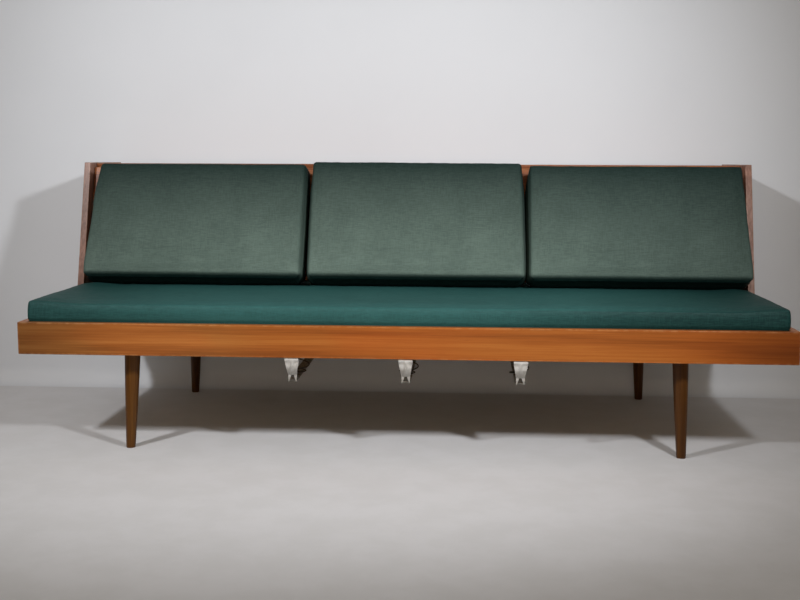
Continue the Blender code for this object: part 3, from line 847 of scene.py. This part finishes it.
# Left and right side of each cushion, seen from the front: how far the side edge stands outside the
# packed box at the foot and at the top, how far the boxing swells beyond the edge, the radius of the
# top corner, and how much higher the top edge runs there
CUSHIONS = {
    "left_cushion": {
        "foot": (0.022, 0.003), "top": (-0.022, 0.013), "swell": (0.004, 0.003),
        "corner": (0.018, 0.007), "rise": (0.001, 0.0),
    },
    "middle_cushion": {
        "foot": (0.0055, 0.0085), "top": (-0.002, -0.0045), "swell": (0.009, 0.004),
        "corner": (0.006, 0.006), "rise": (0.0, -0.003),
    },
    "right_cushion": {
        "foot": (0.001, 0.016), "top": (0.004, -0.014), "swell": (0.008, 0.003),
        "corner": (0.008, 0.008), "rise": (0.001, 0.001),
    },
}
CHEEK_ROOM = 0.008  # sideways room behind the cheeks' front edges
CHEEK_DEPTH = (0.034, 0.060)  # the cheeks' front edge, ahead of a cushion's back
CUSHION_SHOULDER = 0.005  # the left edge stands out high up, where the cheek presses on it
CUSHION_SHRINK = 0.002
CUSHION_ROUND = 0.006
CUSHION_CAP = 0.0035
CUSHION_EASE = 0.003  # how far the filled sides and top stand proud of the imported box
CUSHION_CROWN = 0.011
CUSHION_SHEEN_WIDTH = 0.85  # the painted sheen is strongest within this distance of the middle
CUSHION_FOOT_ROUND = 0.032  # lower front edge
CUSHION_SIDE_ROUND = 0.010  # upright front edges
CUSHION_CORNER_ROUND = 0.034  # lower corners, seen from the front
CUSHION_UPRIGHT = 0.15  # share of the height, from the foot, over which the side edges don't slant
CUSHION_SAG = 0.008  # the foot settles on the mattress
CUSHION_UNEVEN = 0.0010  # slow unevenness of the foam
CUSHION_PUCKER = 0.0006  # finer puckers close to the seams
SHEEN_MIDDLE = -0.15  # where along X the painted sheen on the covers is strongest
MATTRESS_SHRINK = 0.004
MATTRESS_ROUND = 0.007
MATTRESS_CAP = 0.004
MATTRESS_RIM = (0.007, 0.006)  # rise of the left and the right end
MATTRESS_EASE = 0.003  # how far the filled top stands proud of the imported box
MATTRESS_BULGE = 0.002
MATTRESS_FRONT_BULGE = 0.005
MATTRESS_LIMIT = 0.012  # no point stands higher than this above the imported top
MATTRESS_SHEEN = (1.00, 0.30)  # distances from SHEEN_MIDDLE at which the painted sheen is least and full
MATTRESS_SHEEN_LEAST = 0.08  # least painted sheen, left half only


def round_edge(points, first, second, corner, radius):
    """Rounds the box edge where two faces meet.

    first and second are their axes, and each entry of corner is (outward sign, coordinate).
    """
    (axis_a, out_a, at_a), (axis_b, out_b, at_b) = (first, *corner[0]), (second, *corner[1])
    over_a = out_a * (points[:, axis_a] - at_a) + radius
    over_b = out_b * (points[:, axis_b] - at_b) + radius
    inside = (over_a > 0) & (over_b > 0)
    reach = np.hypot(over_a, over_b)
    shrink = np.where(inside & (reach > radius), radius / np.maximum(reach, 1e-9), 1.0)
    points[:, axis_a] += out_a * over_a * (shrink - 1)
    points[:, axis_b] += out_b * over_b * (shrink - 1)


def fit_box(points, low, high):
    """Stretches points so that they fill the box from low to high."""
    now_low, now_high = points.min(axis=0), points.max(axis=0)
    share = (points - now_low) / (now_high - now_low)
    return np.array(low) + share * (np.array(high) - np.array(low))


def fill_cushion(name, size):
    """A cushion's filled cover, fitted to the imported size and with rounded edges, and its points."""
    width, thick, height = size
    box_low = Vector((-width / 2, -thick, 0.0))
    box_high = Vector((width / 2, 0.0, height))
    shrink = Vector((CUSHION_SHRINK, CUSHION_SHRINK, CUSHION_SHRINK))
    cushion = soft_box(name + "_cover", box_low + shrink, box_high - shrink, CUSHION_ROUND, CUSHION_VOXEL)
    inflate(cushion, CUSHION_CAP)
    subdivide(cushion)
    ease = Vector((CUSHION_EASE, 0.0, 0.0))
    points = fit_box(coords(cushion.data), box_low - ease, box_high + ease.zyx + ease)
    for side, corner_round in zip((-1, 1), CUSHIONS[name]["corner"]):
        edge = (side, side * (width / 2 + CUSHION_EASE))
        round_edge(points, 0, 1, (edge, (-1, -thick)), CUSHION_SIDE_ROUND)
        round_edge(points, 0, 2, (edge, (-1, 0.0)), CUSHION_CORNER_ROUND)
        round_edge(points, 0, 2, (edge, (1, height + CUSHION_EASE)), corner_round)
    round_edge(points, 1, 2, ((-1, -thick), (-1, 0.0)), CUSHION_FOOT_ROUND)
    set_coords(cushion.data, points)
    return cushion, points


def move_sides(name, points, across, share, depth, thick):
    """Puts a cushion's side edges where CUSHIONS says, from the foot to the top."""
    sides = CUSHIONS[name]
    ahead = smooth_share(depth, *CHEEK_DEPTH)
    belly = smooth_share(depth, thick * 0.80, thick * 0.35) * smooth_share(depth, 0.0, thick * 0.20)
    belly *= smooth_share(share, 1.0, 0.70)
    slant = np.maximum(share, CUSHION_UPRIGHT)
    for edge, sign in ((0, -1), (1, 1)):
        out = sides["foot"][edge] + (sides["top"][edge] - sides["foot"][edge]) * slant
        if (name, sign) == ("left_cushion", -1):
            out = out + CUSHION_SHOULDER * np.exp(-(((share - 0.73) / 0.16) ** 2))
        if (name, sign) == ("right_cushion", 1):
            out = np.minimum(out, CHEEK_ROOM + (out - CHEEK_ROOM) * ahead)
        out = out + sides["swell"][edge] * belly
        points[:, 0] += sign * out * smooth_share(sign * across, 0.55, 1.0)


def make_cushion(name, seed, looks):
    """A boxed foam cushion: crowned front, slanting side edges, grooved boxing, flat where it leans."""
    low, high = leaning_box(name)
    width, thick, height = high - low
    cushion, points = fill_cushion(name, high - low)
    facing = normals(cushion.data)
    across = points[:, 0] / (width / 2)
    up = points[:, 2] / height
    # Foam crown on the front, which fades towards the four edges.
    crown = (1 - np.clip(np.abs(across), 0, 1) ** 4) * (1 - np.clip(np.abs(2 * up - 1), 0, 1) ** 2.2)
    front = smooth_share(-points[:, 1], thick * 0.3, thick * 0.8)
    points[:, 1] -= CUSHION_CROWN * crown * front
    share = np.clip(up, 0.0, 1.0)
    depth = -points[:, 1]
    move_sides(name, points, across, share, depth, thick)
    # The top edge runs a little out of level.
    rise = np.interp(across, (-1.0, 1.0), CUSHIONS[name]["rise"])
    points[:, 2] += rise * smooth_share(share, 0.7, 1.0)
    # The foot settles on the mattress behind its rounded front edge.
    settle = np.minimum(depth * math.tan(LEAN), CUSHION_SAG) * smooth_share(depth, thick * 0.80, thick * 0.40)
    points[:, 2] -= settle * smooth_share(points[:, 2], 0.10, 0.0)
    points += facing * (CUSHION_UNEVEN * ripple(points, 9.0, seed))[:, None]
    edge_near = np.maximum(np.abs(across), np.abs(2 * up - 1))
    pucker = smooth_share(edge_near, 0.86, 1.0) * CUSHION_PUCKER
    points += facing * (pucker * ripple(points, 55.0, seed + 4.0))[:, None]
    # Seams run round the boxing, just behind the front and just before the back.
    for seam in (-thick + CUSHION_SIDE_ROUND, -CUSHION_SIDE_ROUND):
        groove = np.exp(-(((points[:, 1] - seam) / (SEAM_WIDTH / 2)) ** 2))
        lateral = smooth_share(np.hypot(facing[:, 0], facing[:, 2]), 0.5, 0.9)
        points -= facing * (SEAM_DEPTH * groove * lateral)[:, None]
    points[:, 1] = np.minimum(points[:, 1], -0.0006)
    set_coords(cushion.data, points)
    cushion.data.shade_smooth()
    corner = smooth_share(edge_near, 0.93, 1.02) * 0.5
    if name == "middle_cushion":
        # Its lower left corner is rubbed.
        spot = np.hypot(points[:, 0] + width / 2, points[:, 2])
        corner = np.maximum(corner, smooth_share(spot, 0.030, 0.008))
    store(cushion, "wear", corner)
    # Painted sheen: paler low on the front and towards the middle, fading at the ends and at the foot.
    world_x = points[:, 0] + (low.x + high.x) / 2
    middle = np.exp(-((np.abs(world_x - SHEEN_MIDDLE) / CUSHION_SHEEN_WIDTH) ** 2.6))
    sheen_by_height = np.clip(1.02 - up, 0.0, 1.0) ** 0.85 * smooth_share(up, 0.02, 0.075)
    store(cushion, "painted_sheen", np.clip(sheen_by_height * (0.44 + 0.56 * middle) * front, 0.0, 1.0))
    cushion.matrix_world = lean_frame() @ Matrix.Translation(((low.x + high.x) / 2, high.y, low.z))
    dress(cushion, looks["cushion"], name, [name])


def make_mattress(looks):
    """A foam mattress: held in by the rails below their top edge, bulging over them above it."""
    low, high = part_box("mattress")
    rail_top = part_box("front_rail")[1].z
    cheek_low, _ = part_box("left_cheek")
    shrink = Vector((MATTRESS_SHRINK, MATTRESS_SHRINK, 0.001))
    mattress = soft_box("mattress_cover", low + shrink, high - shrink, MATTRESS_ROUND, MATTRESS_VOXEL)
    inflate(mattress, MATTRESS_CAP)
    subdivide(mattress)
    points = fit_box(coords(mattress.data), low, high + Vector((0.0, 0.0, MATTRESS_EASE)))
    facing = normals(mattress.data)
    above = smooth_share(points[:, 2], rail_top - 0.0005, rail_top + 0.007)
    shoulder = 1 - 0.75 * smooth_share(points[:, 2], high.z - 0.030, high.z)
    half = np.array([(high.x - low.x) / 2, (high.y - low.y) / 2])
    points[:, :2] = np.sign(points[:, :2]) * np.minimum(np.abs(points[:, :2]), half + 0.0005)
    for axis in (0, 1):
        outward = smooth_share(np.abs(points[:, axis]), half[axis] - 0.060, half[axis])
        bulge = (MATTRESS_BULGE if axis == 0 else MATTRESS_FRONT_BULGE) * above * shoulder * outward
        if axis == 0:
            bulge *= smooth_share(points[:, 1], cheek_low.y - 0.004, cheek_low.y - 0.050)
        points[:, axis] += np.sign(points[:, axis]) * bulge
    free = smooth_share(points[:, 1], 0.06, 0.0)
    # The seat has settled; the ends, which nobody sits on, stand higher.
    at_end = smooth_share(np.abs(points[:, 0]), half[0] - 0.13, half[0] - 0.02)
    rise = np.where(points[:, 0] < 0, *MATTRESS_RIM) * at_end
    points[:, 2] += rise * smooth_share(points[:, 2], rail_top, high.z - 0.010) * free
    points[:, 2] += 0.0014 * free * smooth_share(facing[:, 2], 0.5, 1.0) * ripple(points, 5.0, 2.0)
    points += facing * (0.0007 * above * ripple(points, 26.0, 9.0))[:, None]
    points[:, 2] = np.clip(points[:, 2], low.z, high.z + MATTRESS_LIMIT)
    set_coords(mattress.data, points)
    mattress.data.shade_smooth()
    rim = np.maximum(np.abs(points[:, 0]) / half[0], np.abs(points[:, 1]) / half[1])
    store(mattress, "wear", 0.35 * smooth_share(rim, 0.985, 1.01) * above)
    # Painted sheen: paler towards the middle and, on the right half, further out along the top.
    on_top = smooth_share(facing[:, 2], 0.5, 0.9) * (points[:, 0] > 0)
    spread = np.abs(points[:, 0] - SHEEN_MIDDLE) + np.where(points[:, 0] > 0, 0.10 - 0.30 * on_top, 0.0)
    least = np.where(points[:, 0] < 0, MATTRESS_SHEEN_LEAST, 0.0)
    store(mattress, "painted_sheen", least + (1 - least) * smooth_share(spread, *MATTRESS_SHEEN))
    dress(mattress, looks["mattress"], "frame", ["mattress"])


# ---------------------------------------------------------------------------------------------
# Stage, lights and camera
# ---------------------------------------------------------------------------------------------

WALL_Y = 0.450
WALL_HEIGHT = 3.2
STAGE_HALF = 6.0
SWEEP_RADIUS = 0.06
SWEEP_STEPS = 8
WALL_FOOT = 0.0005  # the wall starts this far above the floor
LIGHTS = {
    # place, aim, power, cone in degrees
    "left_lamp": ((-1.73, -2.18, 2.12), (-0.05, 0.20, 0.55), 190.0, 76.0),
    "right_lamp": ((1.10, -1.79, 1.52), (-0.30, 0.20, 0.60), 138.0, 88.0),
}
LAMP_RADIUS = 0.09
LAMP_COLOR = (0.96, 0.975, 1.0)
ROOM_LIGHT = ((0.10, -4.20, 0.95), 1.5, 0.9, 3.5)  # place, width, height, power
ROOM_SPREAD = math.radians(75)
ROOM_COLOR = (1.0, 0.84, 0.66)
WORLD_COLOR = (1.0, 0.90, 0.76)
WORLD_STRENGTH = 0.28
WORLD_LOW = 0.008  # strength near the horizon


def stage_material(name, color, tint, scale):
    tree = Nodes(name, color, 0.9)
    mottle = tree.noise(tree.scaled((scale, scale, scale)), 1.0, 4.0, 0.6)
    tree.set("Base Color", tree.mix(tree.span(mottle, 0.35, 0.65), color, tint))
    return tree


def make_stage():
    """A pale floor, and a wall that sweeps up behind it and is seen only from the front."""
    shape = bmesh.new()
    bmesh.ops.create_grid(shape, x_segments=2, y_segments=2, size=STAGE_HALF)
    floor = object_from(shape, "stage_floor")
    look = stage_material("floor", (0.650, 0.645, 0.655), (0.620, 0.615, 0.620), 9.0)
    floor.data.materials.append(look.material)
    profile = [(WALL_Y - SWEEP_RADIUS, WALL_FOOT)]
    for step in range(1, SWEEP_STEPS + 1):
        angle = step / SWEEP_STEPS * math.pi / 2
        y = WALL_Y - SWEEP_RADIUS + SWEEP_RADIUS * math.sin(angle)
        profile.append((y, WALL_FOOT + SWEEP_RADIUS * (1 - math.cos(angle))))
    profile.append((WALL_Y, WALL_HEIGHT))
    shape = bmesh.new()
    verts = [shape.verts.new((STAGE_HALF, y, z)) for y, z in profile]
    edges = [shape.edges.new(pair) for pair in zip(verts, verts[1:])]
    made = bmesh.ops.extrude_edge_only(shape, edges=edges)
    moved = [item for item in made["geom"] if isinstance(item, bmesh.types.BMVert)]
    bmesh.ops.translate(shape, vec=(-2 * STAGE_HALF, 0, 0), verts=moved)
    bmesh.ops.recalc_face_normals(shape, faces=shape.faces)
    wall = object_from(shape, "stage_wall")
    if wall.data.polygons[-1].normal.y > 0:
        wall.data.flip_normals()
    wall.data.shade_smooth()
    tree = stage_material("wall", (0.70, 0.715, 0.745), (0.68, 0.695, 0.725), 1.3)
    see_through = tree.add("ShaderNodeBsdfTransparent")
    either = tree.add("ShaderNodeMixShader")
    geometry = tree.add("ShaderNodeNewGeometry")
    tree.link(geometry.outputs["Backfacing"], either.inputs["Fac"])
    tree.link(tree.shader.outputs["BSDF"], either.inputs[1])
    tree.link(see_through.outputs["BSDF"], either.inputs[2])
    tree.link(either.outputs["Shader"], tree.tree.nodes["Material Output"].inputs["Surface"])
    wall.data.materials.append(tree.material)


def make_lights():
    for name, (place, aim, power, cone) in LIGHTS.items():
        lamp = bpy.data.lights.new(name, "SPOT")
        lamp.energy = power
        lamp.spot_size = math.radians(cone)
        lamp.spot_blend = 1.0
        lamp.color = LAMP_COLOR
        lamp.shadow_soft_size = LAMP_RADIUS
        obj = link(bpy.data.objects.new(name, lamp))
        obj.location = place
        obj.rotation_euler = (Vector(aim) - Vector(place)).to_track_quat("-Z", "Y").to_euler()
    place, width, height, power = ROOM_LIGHT
    lamp = bpy.data.lights.new("room_light", "AREA")
    lamp.shape = "RECTANGLE"
    lamp.size = width
    lamp.size_y = height
    lamp.energy = power
    lamp.spread = ROOM_SPREAD
    lamp.color = ROOM_COLOR
    obj = link(bpy.data.objects.new("room_light", lamp))
    obj.location = place
    obj.rotation_euler = (math.pi / 2, 0.0, 0.0)
    world = bpy.data.worlds.new("studio")
    world.use_nodes = True
    background = world.node_tree.nodes["Background"]
    background.inputs["Color"].default_value = (*WORLD_COLOR, 1.0)
    place = world.node_tree.nodes.new("ShaderNodeTexCoord")
    apart = world.node_tree.nodes.new("ShaderNodeSeparateXYZ")
    rise = world.node_tree.nodes.new("ShaderNodeMapRange")
    rise.inputs["From Min"].default_value = 0.0
    rise.inputs["From Max"].default_value = 0.6
    rise.inputs["To Min"].default_value = WORLD_LOW
    rise.inputs["To Max"].default_value = WORLD_STRENGTH
    world.node_tree.links.new(place.outputs["Generated"], apart.inputs[0])
    world.node_tree.links.new(apart.outputs["Z"], rise.inputs["Value"])
    world.node_tree.links.new(rise.outputs["Result"], background.inputs["Strength"])
    bpy.context.scene.world = world


def make_camera():
    camera = bpy.data.cameras.new("camera")
    camera.lens = CAMERA_LENS
    obj = link(bpy.data.objects.new("camera", camera))
    turn = Matrix.Rotation(CAMERA_YAW, 4, "Z") @ Matrix.Rotation(math.pi / 2 - CAMERA_PITCH, 4, "X")
    obj.matrix_world = Matrix.Translation(CAMERA_AT) @ turn @ Matrix.Rotation(CAMERA_ROLL, 4, "Z")
    bpy.context.scene.camera = obj


def main():
    bpy.context.scene.view_settings.view_transform = "Standard"
    looks = make_materials()
    make_camera()
    make_rails(looks)
    make_cheeks(looks)
    make_top_board(looks)
    make_panel(looks)
    make_legs(looks)
    for end in ("front", "rear"):
        for side in ("left", "middle", "right"):
            make_hanger(f"{end}_hanger_{side}", looks)
    make_springs(looks)
    finish_cad_nodes(looks)
    for seed, name in enumerate(CUSHIONS):
        make_cushion(name, 10.0 * (seed + 1), looks)
    make_mattress(looks)
    make_stage()
    make_lights()


main()
